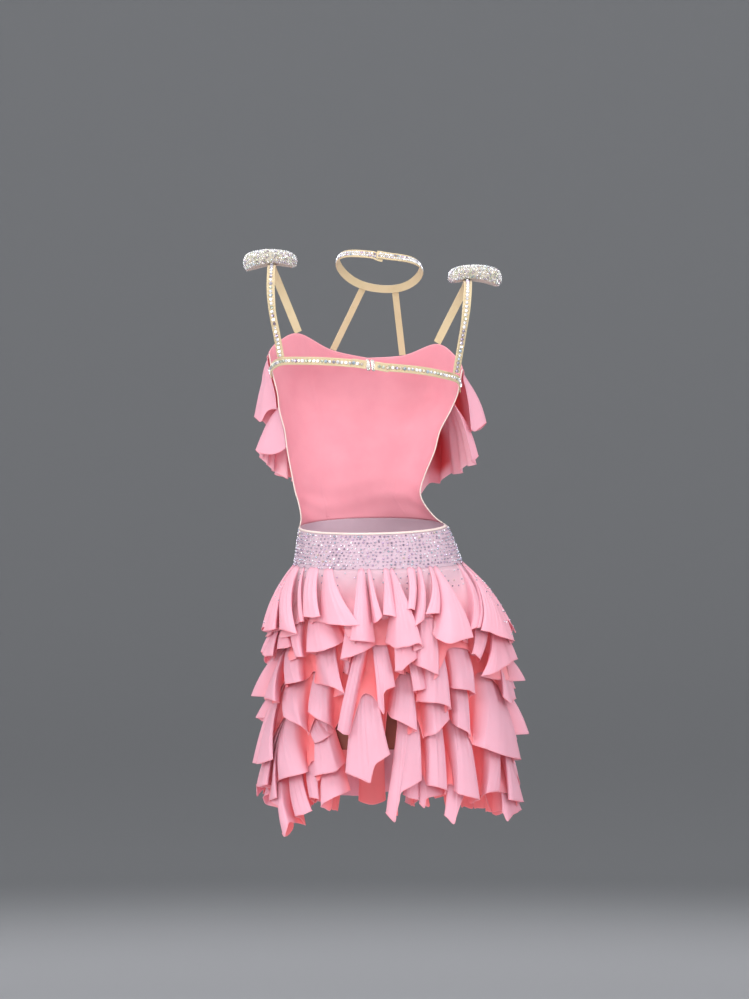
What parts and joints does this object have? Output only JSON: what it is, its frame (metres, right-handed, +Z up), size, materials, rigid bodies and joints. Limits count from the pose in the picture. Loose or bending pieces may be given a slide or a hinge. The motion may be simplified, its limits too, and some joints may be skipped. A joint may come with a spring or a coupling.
{
  "type": "rumba dance dress",
  "caption": "Latin dance dress with halter ring, strap and band open back, bust ruffles, stoned hip yoke and a short skirt of layered flounces, in its worn form.",
  "frame": {"origin": "middle of the neck ring, where the wearer's neck and shoulders hold the dress up", "axes": "+Z up along the wearer, -Y the way the wearer faces, +X towards the wearer's left; metres"},
  "size_m": [0.4214, 0.332, 0.8835],
  "materials": {
    "pink_crepe": "light pink stretch crepe with a soft sheen, cut edges left raw",
    "yoke_jersey": "lilac-pink stretch jersey, scattered with small stones on the yoke",
    "nude_net": "nude power net under the lower flounces",
    "nude_elastic": "cream-nude elastic tape",
    "pad_cloth": "silver-white padded cloth covered in stones",
    "stones": "clear flat-back rhinestones with a foiled back",
    "yoke_stones": "grey, violet and iridescent flat-back rhinestones",
    "hook_metal": "bright plated hook and slider"
  },
  "bodies": {
    "root": {"bodice_front": "pink_crepe", "bust_ruffle_upper": "pink_crepe", "bust_ruffle_lower": "pink_crepe", "hip_yoke": "yoke_jersey", "yoke_binding": "nude_elastic", "hip_base": "yoke_jersey", "net_base": "nude_net", "skirt_tier_1": "pink_crepe", "skirt_tier_2": "pink_crepe", "skirt_tier_3": "pink_crepe", "skirt_tier_4": "pink_crepe", "skirt_tier_5": "pink_crepe", "skirt_tier_6": "pink_crepe", "neck_band": "nude_elastic", "halter_strap_left": "nude_elastic", "halter_strap_right": "nude_elastic", "shoulder_strap_left": "nude_elastic", "shoulder_strap_right": "nude_elastic", "shoulder_pad_left": "pad_cloth", "shoulder_pad_right": "pad_cloth", "back_band_left": "nude_elastic", "back_band_right": "nude_elastic", "back_clasp": "hook_metal"}
  },
  "joints": []
}
